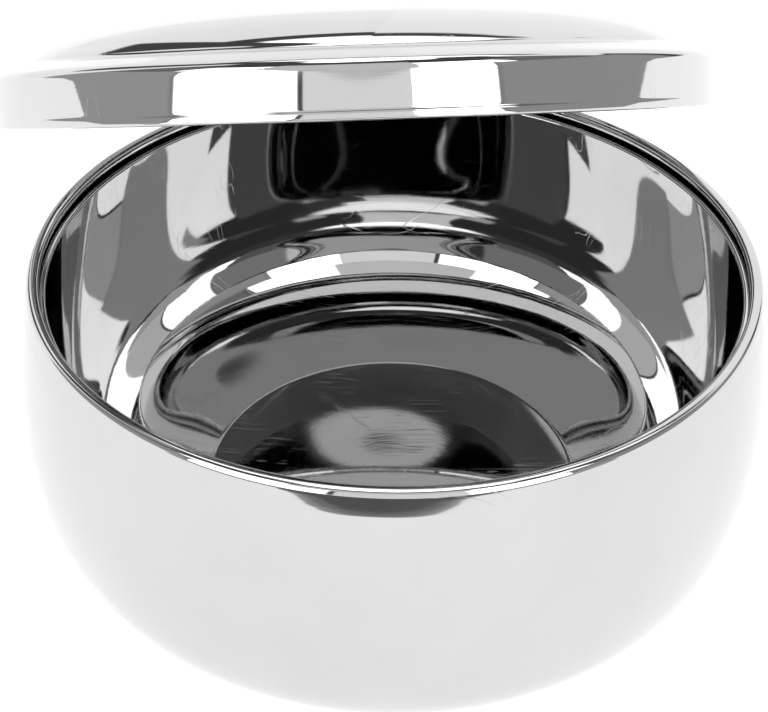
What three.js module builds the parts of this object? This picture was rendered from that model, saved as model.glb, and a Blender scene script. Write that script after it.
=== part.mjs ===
// Shaving bowl with a loose lid: a double-wall stainless bowl (outer shell
// with a rolled lip, separate inner bowl hung under it) and a pressed lid.
// Units are millimetres, +Z is up, and the origin is the centre of the base
// on the surface that the bowl stands on. The lid is held tilted back over
// the rear of the rim, open towards -Y.

import * as THREE from 'three';

// ---------------------------------------------------------------- dimensions
const SEGMENTS = 48;            // facets round every turned wall
const RIM_H = 40.7;             // height of the inner rim edge above the base
const RIM_R = 45.0;             // radius of the inner rim edge
const SHELL_T = 1.0;            // sheet thickness, outer shell
const LINER_T = 0.8;            // sheet thickness, inner bowl
const LID_T = 0.9;              // sheet thickness, lid
const GAP = 0.3;                // clearance between pieces that touch

const BASE_FLAT_R = 32.0;       // outer edge of the flat the bowl stands on
const BASE_CORNER_R = 18.9;     // radius from the base up into the side
const LIP_R = 47.4;             // outside of the rolled lip
const LIP_TOP = 1.98;           // top of the lip above the inner rim edge
const FLANGE_R = 46.6;          // outside of the inner bowl's flange
const FLANGE_TOP = 0.15;        // top of that flange above the inner rim edge

const LINER_R = 45.19;          // widest radius inside the inner bowl
const LINER_WIDE_H = 31.87;     // height of that radius above the base
const RIM_LEAN = 2.5;           // degrees the wall leans out below the rim
const FLOOR_R = 26.19;          // edge of the floor
const FLOOR_H = 4.52;           // height of that edge above the base
const FLOOR_DISH = 1.05;        // the floor's middle lies this far below it
const FLOOR_SLOPE = 17.2;        // degrees, slope of the corner at the floor's edge

const LID_R = 49.7;             // outside of the lid's skirt
const LID_SKIRT_H = 6.9;        // straight height of the skirt
const LEDGE_R = 45.0;           // foot of the dome
const LEDGE_RISE = 1.6;         // the ledge climbs this much to the dome
const DOME_H = 6.9;             // height of the dome above its foot
const LID_CENTRE = [-5.8, 25.9, RIM_H + 7.5];   // centre of the skirt's lower edge
const LID_NORMAL = [-0.0457, 0.4656, 0.8838];   // the lid's own axis, pointing up
const LID_RIGHT = [0.99888, 0.01190, 0.04539];  // sideways direction in its plane

// --------------------------------------------------------------- materials
const steel = (name, color, roughness) => {
  const m = new THREE.MeshStandardMaterial({ color, roughness, metalness: 1 });
  m.name = name;
  return m;
};
const shellSteel = steel('shell_steel', 0xe9eaec, 0.06);
const linerSteel = steel('liner_steel', 0xdfe1e4, 0.05);
const lidSteel = steel('lid_steel', 0xe6e8ea, 0.06);

// ----------------------------------------------------------------- helpers
const v2 = (r, z) => new THREE.Vector2(r, z);
const mesh = (name, profile, material) => {
  const g = new THREE.LatheGeometry(profile, SEGMENTS);
  g.rotateX(Math.PI / 2);       // the lathe turns about Y; stand it along +Z
  const m = new THREE.Mesh(g, material);
  m.name = name;
  return m;
};
// Points of an arc round (cr, cz), angles in degrees, counter-clockwise from +r.
const arc = (cr, cz, rad, a0, a1, n) => {
  const pts = [];
  for (let i = 0; i <= n; i++) {
    const a = ((a0 + ((a1 - a0) * i) / n) * Math.PI) / 180;
    pts.push(v2(cr + rad * Math.cos(a), cz + rad * Math.sin(a)));
  }
  return pts;
};
// Same line moved sideways by d (to the left of its direction of travel).
const offset = (pts, d) => pts.map((p, i) => {
  const a = pts[Math.max(i - 1, 0)], b = pts[Math.min(i + 1, pts.length - 1)];
  const t = b.clone().sub(a).normalize();
  return v2(p.x - t.y * d, p.y + t.x * d);
});

// -------------------------------------------------------------- outer shell
// Outside face from the flat base up the rounded side to the lip; widest at
// about half height and drawn in above that.
const side = [
  [1.050, -0.727], [1.081, -0.660], [1.101, -0.575], [1.111, -0.460],
  [1.110, -0.345], [1.101, -0.235], [1.085, -0.120], [1.066, -0.021],
].map(([r, z]) => v2(r * RIM_R, RIM_H + z * RIM_R));
const shellOutside = [
  ...arc(BASE_FLAT_R, BASE_CORNER_R, BASE_CORNER_R, -90, -43, 4), ...side,
];
// Rolled lip: up its outside, over the top and down to its inner edge.
const lip = [
  v2(LIP_R, RIM_H + 1.15), v2(LIP_R - 0.28, RIM_H + 1.72),
  v2(LIP_R - 0.78, RIM_H + LIP_TOP), v2(LIP_R - 1.35, RIM_H + 1.80),
  v2(LIP_R - 1.78, RIM_H + 1.30), v2(LIP_R - 1.65, RIM_H + FLANGE_TOP + GAP + 0.15),
  v2(LIP_R - 0.85, RIM_H + FLANGE_TOP + GAP),
];
const shellInside = offset(shellOutside, SHELL_T).reverse();
shellInside[0] = v2(FLANGE_R + GAP + 0.1, RIM_H - 0.95);
shellInside[shellInside.length - 1] = v2(BASE_FLAT_R, SHELL_T);
const outerShell = mesh('outer_shell', [
  v2(0, 0), ...shellOutside, ...lip, ...shellInside, v2(0, SHELL_T),
], shellSteel);

// --------------------------------------------------------------- inner bowl
// The wall leans out below the rim, is widest lower down, then turns in
// through a large corner to the floor.
const lean = (RIM_LEAN * Math.PI) / 180, slope = (FLOOR_SLOPE * Math.PI) / 180;
const wallH = RIM_H - LINER_WIDE_H, cornerH = LINER_WIDE_H - FLOOR_H;
const upper = new THREE.CubicBezierCurve(
  v2(RIM_R, RIM_H),
  v2(RIM_R + 0.168 * wallH * Math.sin(lean), RIM_H - 0.168 * wallH * Math.cos(lean)),
  v2(LINER_R, LINER_WIDE_H + 0.421 * wallH),
  v2(LINER_R, LINER_WIDE_H),
);
const cornerW = LINER_R - FLOOR_R;
const lower = new THREE.CubicBezierCurve(
  v2(LINER_R, LINER_WIDE_H),
  v2(LINER_R, LINER_WIDE_H - 0.807 * cornerH),
  v2(FLOOR_R + 0.707 * cornerW * Math.cos(slope), FLOOR_H + 0.707 * cornerW * Math.sin(slope)),
  v2(FLOOR_R, FLOOR_H),
);
const linerInside = [...upper.getPoints(4), ...lower.getPoints(7).slice(1)];
for (let i = 1; i <= 3; i++) {
  const q = 1 - i / 3;
  linerInside.push(v2(FLOOR_R * q, FLOOR_H - FLOOR_DISH * (1 - q ** 3.38)));
}
const linerOutside = offset(linerInside, LINER_T).reverse();
linerOutside[0].x = 0;
const innerBowl = mesh('inner_bowl', [
  ...linerOutside.slice(0, -1),
  v2(RIM_R + 0.75, RIM_H - 0.8), v2(FLANGE_R, RIM_H - 0.7),
  v2(FLANGE_R, RIM_H + FLANGE_TOP - 0.05), v2(RIM_R + 0.5, RIM_H + FLANGE_TOP),
  v2(RIM_R + 0.18, RIM_H + 0.12), ...linerInside,
], linerSteel);

// ---------------------------------------------------------------- lid shell
// The lid's own frame: +Z along its axis, z = 0 at the skirt's lower edge.
const domeFoot = LID_SKIRT_H - 0.2 + LEDGE_RISE;
const lidOutside = [
  v2(LID_R - 0.35, 0), v2(LID_R, 0.5), v2(LID_R, LID_SKIRT_H - 1.2),
  v2(LID_R - 0.35, LID_SKIRT_H - 0.35), v2(LID_R - 1.2, LID_SKIRT_H + 0.15),
  v2(LEDGE_R, domeFoot),
];
for (const q of [0.99, 0.96, 0.9, 0.81, 0.67, 0.45, 0]) {
  lidOutside.push(v2(LEDGE_R * q, domeFoot + DOME_H * (1 - q ** 4) ** 0.7));
}
const lidInside = offset(lidOutside.slice(1), LID_T).reverse();
lidInside[0].x = 0;
const lidShell = mesh('lid_shell', [
  ...lidInside.slice(0, -1),
  v2(LID_R - LID_T, 0.5), v2(LID_R - LID_T + 0.2, 0),
  ...lidOutside,
], lidSteel);
const right = new THREE.Vector3(...LID_RIGHT);
const up = new THREE.Vector3(...LID_NORMAL).normalize();
right.addScaledVector(up, -right.dot(up)).normalize();
const back = new THREE.Vector3().crossVectors(up, right);
const lidGroup = new THREE.Group();
lidGroup.applyMatrix4(new THREE.Matrix4().makeBasis(right, back, up).setPosition(...LID_CENTRE));
lidGroup.add(lidShell);

// ------------------------------------------------------------------ assembly
const shavingBowl = new THREE.Group();
shavingBowl.name = 'shaving_bowl';
shavingBowl.add(outerShell, innerBowl, lidGroup);

export default shavingBowl;
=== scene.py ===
import math

import bpy
from mathutils import Matrix, Vector


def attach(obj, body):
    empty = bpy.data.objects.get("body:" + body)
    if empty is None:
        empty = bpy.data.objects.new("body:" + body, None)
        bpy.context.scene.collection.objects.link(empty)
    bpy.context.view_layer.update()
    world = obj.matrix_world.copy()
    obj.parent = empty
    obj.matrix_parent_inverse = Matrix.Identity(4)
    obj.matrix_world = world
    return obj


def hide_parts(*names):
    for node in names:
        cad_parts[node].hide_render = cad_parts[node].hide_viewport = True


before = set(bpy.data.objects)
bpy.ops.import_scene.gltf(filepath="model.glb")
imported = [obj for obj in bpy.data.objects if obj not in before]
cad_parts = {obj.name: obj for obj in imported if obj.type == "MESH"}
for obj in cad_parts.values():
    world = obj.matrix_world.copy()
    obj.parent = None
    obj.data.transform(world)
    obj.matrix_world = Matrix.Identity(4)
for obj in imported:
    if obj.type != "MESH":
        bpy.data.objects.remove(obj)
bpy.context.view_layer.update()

scene = bpy.context.scene

# ---------------------------------------------------------------- dimensions
# Millimetres here; every mesh is written in metres.
SEG = 384
RIM_H = 40.7                    # inner rim edge above the base
RIM_R = 45.0                    # radius of that edge
LINER_R = 45.19                 # widest radius inside the inner bowl
LINER_WIDE_H = 31.87            # height of that radius above the base
RIM_LEAN = 2.5                  # degrees the wall leans out below the rim
FLOOR_R = 26.19                 # edge of the inner floor
FLOOR_H = 4.52                  # height of that edge above the base
FLOOR_DISH = 1.05               # the floor's middle lies this far below it
FLOOR_SLOPE = 17.2               # degrees, slope of the corner at the floor's edge
LINER_T = 0.8
SHELL_T = 1.0
LID_T = 0.9
LID_R = 49.7
LID_SKIRT_H = 6.9
LEDGE_R = 45.0
DOME_H = 6.9
LID_CENTRE = Vector((-5.8, 25.9, RIM_H + 7.5))
LID_NORMAL = Vector((-0.0457, 0.4656, 0.8838)).normalized()
LID_RIGHT = Vector((0.99888, 0.01190, 0.04539))


# ------------------------------------------------------------ profile helpers
def bez(p0, p1, p2, p3, n, skip_first=False):
    pts = []
    for i in range(1 if skip_first else 0, n + 1):
        t = i / n
        u = 1 - t
        pts.append(tuple(
            u ** 3 * p0[k] + 3 * u * u * t * p1[k] + 3 * u * t * t * p2[k] + t ** 3 * p3[k]
            for k in (0, 1)
        ))
    return pts


def arc(cr, cz, rad, a0, a1, n, skip_first=False):
    return [
        (cr + rad * math.cos(math.radians(a0 + (a1 - a0) * i / n)),
         cz + rad * math.sin(math.radians(a0 + (a1 - a0) * i / n)))
        for i in range(1 if skip_first else 0, n + 1)
    ]


def shifted(pts, d):
    """The same line moved by d to the left of its direction of travel."""
    out = []
    for i, p in enumerate(pts):
        a, b = pts[max(i - 1, 0)], pts[min(i + 1, len(pts) - 1)]
        tx, tz = b[0] - a[0], b[1] - a[1]
        ln = math.hypot(tx, tz) or 1.0
        out.append((p[0] - tz / ln * d, p[1] + tx / ln * d))
    return out


def lathe(name, profile, place=None, seg=SEG):
    """A closed surface of revolution about Z; points on the axis become poles."""
    verts, faces, rings = [], [], []
    for r, z in profile:
        if r < 1e-6:
            rings.append([len(verts)])
            verts.append((0.0, 0.0, z))
        else:
            rings.append(list(range(len(verts), len(verts) + seg)))
            for i in range(seg):
                a = 2 * math.pi * i / seg
                verts.append((r * math.cos(a), r * math.sin(a), z))
    closed = len(rings[0]) > 1
    pairs = list(zip(rings, rings[1:])) + ([(rings[-1], rings[0])] if closed else [])
    for a, b in pairs:
        for i in range(seg):
            j = (i + 1) % seg
            if len(a) == 1:
                faces.append((a[0], b[j], b[i]))
            elif len(b) == 1:
                faces.append((a[i], a[j], b[0]))
            else:
                faces.append((a[i], a[j], b[j], b[i]))
    me = bpy.data.meshes.new(name)
    me.from_pydata([tuple(c * 0.001 for c in v) for v in verts], [], faces)
    if place is not None:
        me.transform(place)
    me.update()
    for p in me.polygons:
        p.use_smooth = True
    ob = bpy.data.objects.new(name, me)
    scene.collection.objects.link(ob)
    return ob


# -------------------------------------------------------------- outer shell
def ri(r, z):
    return (r * RIM_R, RIM_H + z * RIM_R)


BASE_R, BASE_Z = 32.0, 0.0
wide = ri(1.111, -0.415)
body = (
    bez((BASE_R, BASE_Z), (BASE_R + 0.328 * RIM_R, BASE_Z), ri(1.111, -0.415 - 0.26), wide, 48)
    + bez(wide, ri(1.111, -0.415 + 0.12), ri(1.0944, -0.1504), ri(1.066, -0.021), 30, True)
)
# The lip: the wall runs on up, rolls over, and tucks in above the flange.
lip = bez(ri(1.066, -0.021), (47.878, RIM_H - 0.595), (47.652, RIM_H + 0.20), (47.39, RIM_H + 1.10), 12, True)
lip += bez((47.39, RIM_H + 1.10), (47.26, RIM_H + 1.55), (47.08, RIM_H + 1.86), (46.85, RIM_H + 1.93), 12, True)
lip += bez((46.85, RIM_H + 1.93), (46.65, RIM_H + 1.99), (46.45, RIM_H + 1.985), (46.20, RIM_H + 1.96), 10, True)
lip += bez((46.20, RIM_H + 1.96), (45.90, RIM_H + 1.93), (45.66, RIM_H + 1.78), (45.62, RIM_H + 1.35), 10, True)
lip += bez((45.62, RIM_H + 1.35), (45.60, RIM_H + 0.85), (45.85, RIM_H + 0.50), (46.30, RIM_H + 0.48), 8, True)
lip_end = [(46.75, RIM_H + 0.42), (46.95, RIM_H + 0.10), (46.98, RIM_H - 0.9)]
shell_in = shifted(body, SHELL_T)[::-1]
shell_in = [p for p in shell_in if p[1] < RIM_H - 2.2]
shell_in[-1] = (BASE_R, SHELL_T)
outer_profile = (
    [(0.0, BASE_Z), (10.0, BASE_Z), (20.0, BASE_Z), (28.0, BASE_Z)] + body + lip + lip_end + shell_in
    + [(20.0, SHELL_T), (0.0, SHELL_T)]
)
outer = lathe("outer_shell_polished", outer_profile)

# --------------------------------------------------------------- inner bowl
lean, slope = math.radians(RIM_LEAN), math.radians(FLOOR_SLOPE)
wall_h, corner_h, corner_w = RIM_H - 0.25 - LINER_WIDE_H, LINER_WIDE_H - FLOOR_H, LINER_R - FLOOR_R
wall = bez(
    (RIM_R - 0.02, RIM_H - 0.25),
    (RIM_R - 0.02 + 0.168 * wall_h * math.sin(lean), RIM_H - 0.25 - 0.168 * wall_h * math.cos(lean)),
    (LINER_R, LINER_WIDE_H + 0.421 * wall_h), (LINER_R, LINER_WIDE_H), 60)
corner = bez(
    (LINER_R, LINER_WIDE_H), (LINER_R, LINER_WIDE_H - 0.807 * corner_h),
    (FLOOR_R + 0.707 * corner_w * math.cos(slope), FLOOR_H + 0.707 * corner_w * math.sin(slope)),
    (FLOOR_R, FLOOR_H), 90, True)
floor_in = []
for i in range(1, 61):
    q = 1 - i / 60
    floor_in.append((FLOOR_R * q, FLOOR_H - FLOOR_DISH * (1 - q ** 3.38)))
liner_in = wall + corner + floor_in
liner_out = shifted(liner_in, LINER_T)[::-1]
liner_out[0] = (0.0, liner_out[0][1])
edge = bez((45.42, RIM_H + 0.15), (45.20, RIM_H + 0.15), (45.0, RIM_H + 0.02), (RIM_R - 0.02, RIM_H - 0.25), 8)
inner_profile = (
    [p for p in liner_out if p[1] < RIM_H - 1.1] + [(45.78, RIM_H - 0.80), (46.55, RIM_H - 0.72), (46.6, RIM_H - 0.66), (46.6, RIM_H + 0.09), (46.54, RIM_H + 0.15)]
    + edge[:-1] + liner_in
)
inner = lathe("inner_bowl_polished", inner_profile)

# ----------------------------------------------------------------------- lid
# Own frame: +Z is the lid's axis, z = 0 is the skirt's lower edge.
foot = LID_SKIRT_H - 0.2 + 1.6
lid_out = (
    bez((LID_R - 0.42, 0.0), (LID_R - 0.14, 0.0), (LID_R, 0.14), (LID_R, 0.42), 6)
    + [(LID_R, 0.80)]
    + bez((LID_R, 1.02), (LID_R - 0.04, 1.12), (LID_R - 0.05, 1.2), (LID_R - 0.05, 1.32), 5)
    + bez((LID_R - 0.05, 1.5), (LID_R - 0.05, 3.0), (LID_R - 0.06, 4.6), (LID_R - 0.08, LID_SKIRT_H - 1.0), 10)
    + bez((LID_R - 0.08, LID_SKIRT_H - 1.0), (LID_R - 0.10, LID_SKIRT_H - 0.28), (LID_R - 0.55, LID_SKIRT_H + 0.02), (LID_R - 1.15, LID_SKIRT_H + 0.25), 12, True)
    + bez((LID_R - 1.15, LID_SKIRT_H + 0.25), (LID_R - 2.4, LID_SKIRT_H + 0.66), (LEDGE_R + 1.2, foot - 0.42), (LEDGE_R + 0.35, foot - 0.12), 10, True)
    + bez((LEDGE_R + 0.35, foot - 0.12), (LEDGE_R + 0.05, foot), (LEDGE_R - 0.12, foot + 0.14), (LEDGE_R - 0.30, foot + 0.42), 8, True)
    + bez((LEDGE_R - 0.30, foot + 0.42), (38.6, foot + DOME_H + 0.05), (13.0, foot + DOME_H), (0.0, foot + DOME_H), 80, True)
)
lid_in = shifted(lid_out, LID_T)[::-1]
lid_in[0] = (0.0, lid_in[0][1])
lid_in = [p for p in lid_in if p[1] > 0.7]
lid_profile = lid_in + bez(lid_in[-1], (LID_R - LID_T - 0.02, 0.3), (LID_R - 0.8, 0.0), (LID_R - 0.55, 0.0), 6, True) + lid_out
lid_right = (LID_RIGHT - LID_NORMAL * LID_RIGHT.dot(LID_NORMAL)).normalized()
lid_back = LID_NORMAL.cross(lid_right)
LID_PLACE = Matrix((
    (lid_right.x, lid_back.x, LID_NORMAL.x, LID_CENTRE.x * 0.001),
    (lid_right.y, lid_back.y, LID_NORMAL.y, LID_CENTRE.y * 0.001),
    (lid_right.z, lid_back.z, LID_NORMAL.z, LID_CENTRE.z * 0.001),
    (0, 0, 0, 1),
))
lid = lathe("lid_polished", lid_profile, LID_PLACE)


# ----------------------------------------------------------------- materials
class Nodes:
    """A short way to write node trees."""

    def __init__(self, tree):
        self.t = tree

    def add(self, kind, **settings):
        n = self.t.nodes.new(kind)
        for k, v in settings.items():
            setattr(n, k, v)
        return n

    def put(self, socket, value):
        if isinstance(value, bpy.types.NodeSocket):
            self.t.links.new(value, socket)
        else:
            socket.default_value = value

    def math(self, op, a, b=0.0, c=0.0, clamp=False):
        n = self.add("ShaderNodeMath", operation=op, use_clamp=clamp)
        self.put(n.inputs[0], a)
        self.put(n.inputs[1], b)
        if op in ("MULTIPLY_ADD", "SMOOTH_MIN", "SMOOTH_MAX", "WRAP", "COMPARE"):
            self.put(n.inputs[2], c)
        return n.outputs[0]

    def step(self, x, lo, hi, out_lo=0.0, out_hi=1.0):
        n = self.add("ShaderNodeMapRange", interpolation_type="SMOOTHSTEP")
        self.put(n.inputs["Value"], x)
        n.inputs["From Min"].default_value = lo
        n.inputs["From Max"].default_value = hi
        n.inputs["To Min"].default_value = out_lo
        n.inputs["To Max"].default_value = out_hi
        return n.outputs[0]

    def noise(self, vec, scale, detail=3.0, rough=0.5, distort=0.0):
        n = self.add("ShaderNodeTexNoise", noise_dimensions="3D")
        self.put(n.inputs["Vector"], vec)
        n.inputs["Scale"].default_value = scale
        n.inputs["Detail"].default_value = detail
        n.inputs["Roughness"].default_value = rough
        n.inputs["Distortion"].default_value = distort
        return n.outputs[0]

    def vec(self, x, y, z):
        n = self.add("ShaderNodeCombineXYZ")
        for s, v in zip(n.inputs, (x, y, z)):
            self.put(s, v)
        return n.outputs[0]


def polished_steel(name, grey, rough, place=None, scratch=1.0, turned=1.0, specks=0.0, seed=0.0):
    """Mirror-polished stainless steel: a slow ripple left by the press, fine
    turned polishing lines about the piece's own axis, crossing hairline
    scratches, faint smears that dull it, and small colour variation."""
    m = bpy.data.materials.new(name)
    m.use_nodes = True
    t = m.node_tree
    bsdf = t.nodes["Principled BSDF"]
    n = Nodes(t)
    co = n.add("ShaderNodeTexCoord").outputs["Object"]
    if place is not None:
        # into the tilted piece's own frame
        inv = place.inverted()
        mp = n.add("ShaderNodeMapping", vector_type="POINT")
        n.put(mp.inputs["Vector"], co)
        mp.inputs["Location"].default_value = inv.to_translation()
        mp.inputs["Rotation"].default_value = inv.to_euler("XYZ")
        co = mp.outputs[0]
    sep = n.add("ShaderNodeSeparateXYZ")
    n.put(sep.inputs[0], co)
    x, y, z = sep.outputs
    r = n.math("SQRT", n.math("ADD", n.math("MULTIPLY", x, x), n.math("MULTIPLY", y, y)))
    # position along the profile: radius and height together
    along = n.math("ADD", r, z)

    # turned polishing lines: fine in radius and height, long round the axis
    unit = n.math("DIVIDE", 1.0, n.math("MAXIMUM", r, 0.002))
    cx, cy = n.math("MULTIPLY", x, unit), n.math("MULTIPLY", y, unit)
    lines = n.noise(n.vec(n.math("MULTIPLY", cx, 1.2), n.math("MULTIPLY", cy, 1.2), n.math("MULTIPLY", along, 2600.0)), 1.0, 2.0, 0.6)
    bands = n.noise(n.vec(n.math("MULTIPLY", cx, 0.6), n.math("MULTIPLY", cy, 0.6), n.math("MULTIPLY", along, 420.0)), 1.0, 2.0, 0.55)

    # hairline scratches: stretched noise cut at its ridge, in three directions
    hair = None
    for i, (angle, thin) in enumerate(((0.45, 1.0), (2.0, 0.8), (-0.75, 0.9))):
        rot = n.add("ShaderNodeMapping", vector_type="POINT")
        n.put(rot.inputs["Vector"], co)
        rot.inputs["Rotation"].default_value = (0.5 * angle + seed, 0.3 * i + seed, angle)
        rot.inputs["Scale"].default_value = (26.0, 900.0 * thin, 140.0)
        ridge = n.noise(rot.outputs[0], 1.0, 1.0, 0.3)
        thinned = n.step(n.math("ABSOLUTE", n.math("SUBTRACT", ridge, 0.5)), 0.006, 0.0)
        where = n.step(n.noise(co, 70.0 + 23.0 * i + 5 * seed, 1.0, 0.5), 0.60, 0.68)
        one = n.math("MULTIPLY", thinned, where)
        hair = one if hair is None else n.math("MAXIMUM", hair, one)

    smear = n.noise(co, 38.0, 4.0, 0.62, 0.6)
    cloud = n.noise(co, 140.0, 3.0, 0.55)

    # colour: a narrow range of grey, a little darker where it is smeared
    ramp = n.add("ShaderNodeValToRGB")
    ramp.color_ramp.elements[0].position = 0.30
    ramp.color_ramp.elements[0].color = (grey * 0.955, grey * 0.957, grey * 0.96, 1)
    ramp.color_ramp.elements[1].position = 0.72
    ramp.color_ramp.elements[1].color = (grey * 1.015, grey * 1.015, grey * 1.015, 1)
    n.put(ramp.inputs[0], n.math("MULTIPLY_ADD", cloud, 0.3, n.math("MULTIPLY", smear, 0.7)))
    n.put(bsdf.inputs["Base Color"], ramp.outputs[0])

    # gloss
    rgh = n.math("MULTIPLY_ADD", n.step(smear, 0.50, 0.80), 0.035, rough)
    rgh = n.math("MULTIPLY_ADD", bands, 0.012 * turned, rgh)
    rgh = n.math("MULTIPLY_ADD", hair, 0.16 * scratch, rgh)
    if specks:
        v = n.add("ShaderNodeTexVoronoi", feature="F1")
        n.put(v.inputs["Vector"], co)
        v.inputs["Scale"].default_value = 190.0
        few = n.step(n.noise(co, 55.0, 0.0), 0.63, 0.66)
        dot = n.math("MULTIPLY", n.step(v.outputs["Distance"], 0.05, 0.02), few)
        rgh = n.math("MULTIPLY_ADD", dot, 0.4 * specks, rgh)
    n.put(bsdf.inputs["Roughness"], n.math("MINIMUM", rgh, 0.6))
    bsdf.inputs["Metallic"].default_value = 1.0

    # relief
    ripple = n.noise(co, 52.0, 1.0, 0.4)
    height = n.math("MULTIPLY", ripple, 1.0)
    b1 = n.add("ShaderNodeBump")
    b1.inputs["Strength"].default_value = 1.0
    b1.inputs["Distance"].default_value = 0.000022
    n.put(b1.inputs["Height"], height)
    b2 = n.add("ShaderNodeBump")
    b2.inputs["Strength"].default_value = 1.0
    b2.inputs["Distance"].default_value = 0.0000011 * turned
    n.put(b2.inputs["Height"], lines)
    n.put(b2.inputs["Normal"], b1.outputs[0])
    b3 = n.add("ShaderNodeBump", invert=True)
    b3.inputs["Strength"].default_value = 1.0
    b3.inputs["Distance"].default_value = 0.000004 * scratch
    n.put(b3.inputs["Height"], hair)
    n.put(b3.inputs["Normal"], b2.outputs[0])
    n.put(bsdf.inputs["Normal"], b3.outputs[0])
    return m


for ob, node, slot, bodyname, look in (
    (outer, "outer_shell", "shell_steel", "bowl",
     polished_steel("shell_steel_look", 0.61, 0.030, scratch=0.4, turned=0.8, seed=0.3)),
    (inner, "inner_bowl", "liner_steel", "bowl",
     polished_steel("liner_steel_look", 0.61, 0.022, scratch=0.35, turned=1.0, specks=0.6, seed=1.1)),
    (lid, "lid_shell", "lid_steel", "lid",
     polished_steel("lid_steel_look", 0.64, 0.034, place=LID_PLACE, scratch=0.5, turned=0.8, seed=2.2)),
):
    ob.data.materials.append(look)
    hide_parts(node)
    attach(ob, bodyname)

# -------------------------------------------------------------------- camera
D, elev, focal = 4.676, math.radians(33.68), 1606.9
fw = Vector((0, math.cos(elev), -math.sin(elev)))
right = Vector((1, 0, 0))
up = right.cross(fw)
yaw = Matrix.Rotation(math.radians(0.33), 3, up)
fw, right = yaw @ fw, yaw @ right
pitch = Matrix.Rotation(math.radians(-3.33), 3, right)
fw = pitch @ fw
up = right.cross(fw)
roll = Matrix.Rotation(math.radians(-0.75), 3, fw)
right, up = roll @ right, roll @ up
eye = Vector((0, -D * math.cos(elev), D * math.sin(elev))) * RIM_R + Vector((0, 0, RIM_H))
cam = bpy.data.cameras.new("camera")
cam.sensor_width = 36
cam.lens = focal / 768 * 36
cam.clip_start = 0.01
cam_ob = bpy.data.objects.new("camera", cam)
scene.collection.objects.link(cam_ob)
cam_ob.matrix_world = Matrix((
    (right.x, up.x, -fw.x, eye.x * 0.001),
    (right.y, up.y, -fw.y, eye.y * 0.001),
    (right.z, up.z, -fw.z, eye.z * 0.001),
    (0, 0, 0, 1),
))
scene.camera = cam_ob

# --------------------------------------------------------------------- floor
me = bpy.data.meshes.new("floor")
me.from_pydata([(-3, -3, 0), (3, -3, 0), (3, 3, 0), (-3, 3, 0)], [], [(0, 1, 2, 3)])
floor = bpy.data.objects.new("floor", me)
scene.collection.objects.link(floor)
floor.location.z = -0.0002
fm = bpy.data.materials.new("floor_white")
fm.use_nodes = True
b = fm.node_tree.nodes["Principled BSDF"]
b.inputs["Base Color"].default_value = (0.30, 0.30, 0.30, 1)
b.inputs["Roughness"].default_value = 0.9
b.inputs["Specular IOR Level"].default_value = 0.0
b.inputs["Emission Color"].default_value = (1, 1, 1, 1)
b.inputs["Emission Strength"].default_value = 0.98
me.materials.append(fm)

# --------------------------------------------------------------------- light
# A studio of large soft panels all round, given as a sky: each row is
# azimuth from/to (0 is towards -Y, + towards +X), elevation from/to, level,
# width of the soft edge, all in degrees.
PANELS = (
    (-180, 180, 77.5, 91, 3.2, 3),
    (66, 180, 73, 77.6, 2.8, 2),
    (-180, -125, 73, 77.6, 2.8, 2),
    (-180, -151, -3, 40, 1.15, 2),
    (-153, -127, -3, 19, 1.2, 3),
    (-129, -108, -3, 60, 1.2, 3),
    (134, 180, -3, 43, 1.2, 4),
    (110, 135, 31, 60, 1.2, 3),
    (-180, -152, 48.5, 75, 2.0, 3),
    (132, 180, 51, 75, 2.0, 3),
    (-110, -64, 26, 53, 0.2, 4),
    (62, 112, 26, 53, 0.2, 4),
    (-110, -56.5, -3, 28.5, 0.42, 4),
    (49.5, 122, -3, 28.5, 0.38, 4),
    (-34, 25, 29, 54, 0.75, 3),
    (-64, -33, 28.5, 48, 3.0, 1.5),
    (24, 60, 28.5, 44, 3.0, 1.5),
    (-15.3, 20.3, -3, 29.5, 1.0, 0.6),
    (-56, -17.2, -3, 29.5, 3.0, 0.8),
    (20.6, 49, -3, 29.5, 3.0, 0.8),
)
world = bpy.data.worlds.new("studio")
scene.world = world
world.use_nodes = True
wt = Nodes(world.node_tree)
bg = world.node_tree.nodes["Background"]
wsep = wt.add("ShaderNodeSeparateXYZ")
wt.put(wsep.inputs[0], wt.add("ShaderNodeTexCoord").outputs["Generated"])
wx, wy, wz = wsep.outputs
azimuth = wt.math("MULTIPLY", wt.math("ARCTAN2", wx, wt.math("MULTIPLY", wy, -1.0)), 180 / math.pi)
elevation = wt.math("MULTIPLY", wt.math("ARCSINE", wz), 180 / math.pi)
level = 0.08
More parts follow.
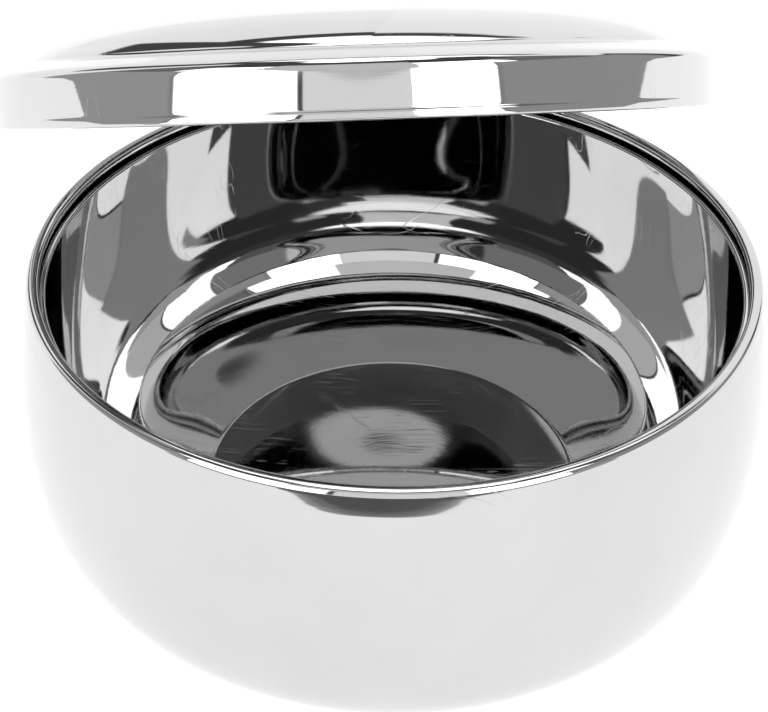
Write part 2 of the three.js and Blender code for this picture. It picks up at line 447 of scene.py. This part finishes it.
for a0, a1, e0, e1, value, soft in PANELS:
    parts = [wt.step(elevation, e0 - soft / 2, e0 + soft / 2), wt.step(elevation, e1 + soft / 2, e1 - soft / 2)]
    if a0 > -180:
        parts.append(wt.step(azimuth, a0 - soft / 2, a0 + soft / 2))
    if a1 < 180:
        parts.append(wt.step(azimuth, a1 + soft / 2, a1 - soft / 2))
    mask = parts[0]
    for p in parts[1:]:
        mask = wt.math("MULTIPLY", mask, p)
    # level + (value - level) * mask
    level = wt.math("MULTIPLY_ADD", wt.math("SUBTRACT", value, level), mask, level)
wt.put(bg.inputs[0], wt.vec(level, level, level))

# Painted reflection: the floor is white everywhere, but grey and dark sheets on the camera's side, met only in
# reflections, make the table look white only near the bowl.
def painted_reflection_sheet(name, r0, r1, a0, a1, height, grey):
    n = 48
    verts, faces = [], []
    for i in range(n + 1):
        a = math.radians(a0 + (a1 - a0) * i / n)
        inner, outer = (r(math.degrees(a)) if callable(r) else r for r in (r0, r1))
        for r in (inner, outer):
            verts.append((r * math.sin(a), -r * math.cos(a), height))
    for i in range(n):
        faces.append((2 * i, 2 * i + 1, 2 * i + 3, 2 * i + 2))
    sheet = bpy.data.meshes.new(name)
    sheet.from_pydata(verts, [], faces)
    o = bpy.data.objects.new(name, sheet)
    scene.collection.objects.link(o)
    # painted reflection: the camera, shadows and diffuse light never see this sheet, only mirror reflections do
    o.visible_camera = False
    o.visible_shadow = False
    o.visible_diffuse = False
    m = bpy.data.materials.new(name)
    m.use_nodes = True
    p = m.node_tree.nodes["Principled BSDF"]
    p.inputs["Base Color"].default_value = (grey, grey, grey, 1)
    p.inputs["Roughness"].default_value = 0.9
    sheet.materials.append(m)


def near_edge(az, step=0.0):
    """Distance at which the front painted-reflection sheet begins, bowed out to both sides."""
    return min(0.245 + 0.075 * ((az + 3.5) / 23.5) ** 2, 0.42) + step


# painted reflection: graded pale, grey and dark sheets that darken the table's reflection in the steel
painted_reflection_sheet("painted_reflection_pale_front", lambda az: near_edge(az, -0.034), lambda az: near_edge(az, -0.017), -28, 28, 0.0010, 0.33)
painted_reflection_sheet("painted_reflection_grey_front", lambda az: near_edge(az, -0.017), near_edge, -28, 28, 0.0010, 0.17)
painted_reflection_sheet("painted_reflection_dark_front", near_edge, 1.10, -28, 28, 0.0010, 0.055)
painted_reflection_sheet("painted_reflection_dark_left", 0.420, 1.10, -60, -28, 0.0010, 0.08)
painted_reflection_sheet("painted_reflection_dark_right", 0.420, 1.10, 28, 60, 0.0010, 0.08)
scene.view_settings.view_transform = "Standard"

bpy.context.view_layer.update()
